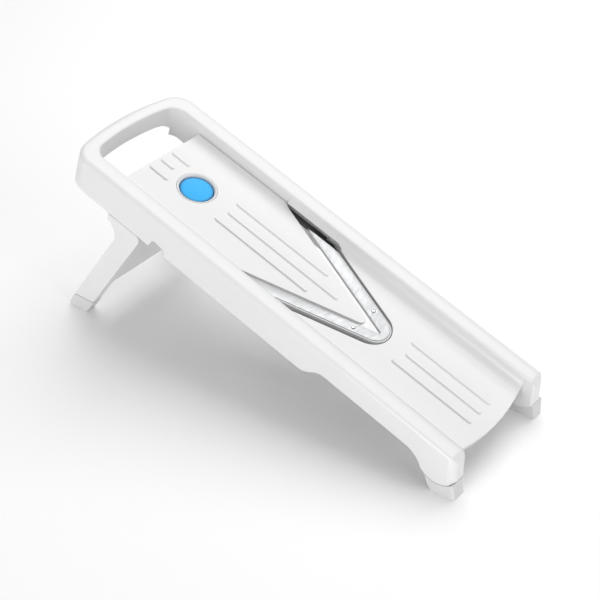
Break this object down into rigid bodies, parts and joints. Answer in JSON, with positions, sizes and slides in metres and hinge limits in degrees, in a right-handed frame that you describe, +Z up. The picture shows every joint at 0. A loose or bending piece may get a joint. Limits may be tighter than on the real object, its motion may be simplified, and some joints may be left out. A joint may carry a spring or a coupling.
{
  "type": "mandoline slicer",
  "caption": "Mandoline slicer with a V blade, a sliding runway plate with a push-button release, raised rails that meet in a handle loop, and a fold-out rear stand.",
  "frame": {"origin": "middle of the footprint, on the surface that the slicer stands on", "axes": "+X down the slope towards the output end, +Y across the rails, +Z up"},
  "size_m": [0.3982, 0.128, 0.1639],
  "materials": {
    "white_plastic": "moulded ABS, smooth satin gloss",
    "blue_plastic": "moulded, glossy",
    "grey_rubber": "soft, matte",
    "black_plastic": "moulded nylon, fine matte",
    "stainless_steel": "ground and polished"
  },
  "bodies": {
    "frame": {"body_frame": "white_plastic", "front_foot_pad_near": "grey_rubber", "front_foot_pad_far": "grey_rubber", "blade_tray": "black_plastic", "blade_carrier": "white_plastic", "v_blade": "stainless_steel", "blade_rivet_1": "stainless_steel", "blade_rivet_2": "stainless_steel", "tray_screw_1": "stainless_steel", "tray_screw_2": "stainless_steel", "tray_screw_3": "stainless_steel", "tray_screw_4": "stainless_steel", "tray_screw_5": "stainless_steel", "tray_screw_6": "stainless_steel", "brake_strip": "stainless_steel", "strip_screw_1": "stainless_steel", "strip_screw_2": "stainless_steel", "strip_screw_3": "stainless_steel", "strip_screw_4": "stainless_steel", "stand_pin_near": "stainless_steel", "stand_pin_far": "stainless_steel"},
    "runway": {"runway_plate": "white_plastic", "button_bezel": "white_plastic", "spring_cup": "black_plastic", "button_spring": "stainless_steel", "cup_screw_1": "stainless_steel", "cup_screw_2": "stainless_steel", "cup_screw_3": "stainless_steel"},
    "button": {"release_button": "blue_plastic", "brake_foot": "grey_rubber", "brake_screw": "stainless_steel"},
    "stand": {"stand_frame": "white_plastic", "stand_foot_pad_near": "grey_rubber", "stand_foot_pad_far": "grey_rubber"}
  },
  "joints": [
    {"name": "runway_slide", "type": "slide", "parent": "frame", "child": "runway", "axis": [-0.948, 0, 0.3183], "range_m": [-0.009, 0.012]},
    {"name": "button_press", "type": "slide", "parent": "runway", "child": "button", "axis": [-0.3183, 0, -0.948], "range_m": [0, 0.0025], "stiffness_N_per_m": 400, "springref_m": -0.003, "deforming": ["button_spring"]},
    {"name": "stand_fold", "type": "hinge", "parent": "frame", "child": "stand", "pos_m": [-0.11317, 0, 0.10267], "axis": [0, -1, 0], "range_deg": [0, 104]}
  ]
}
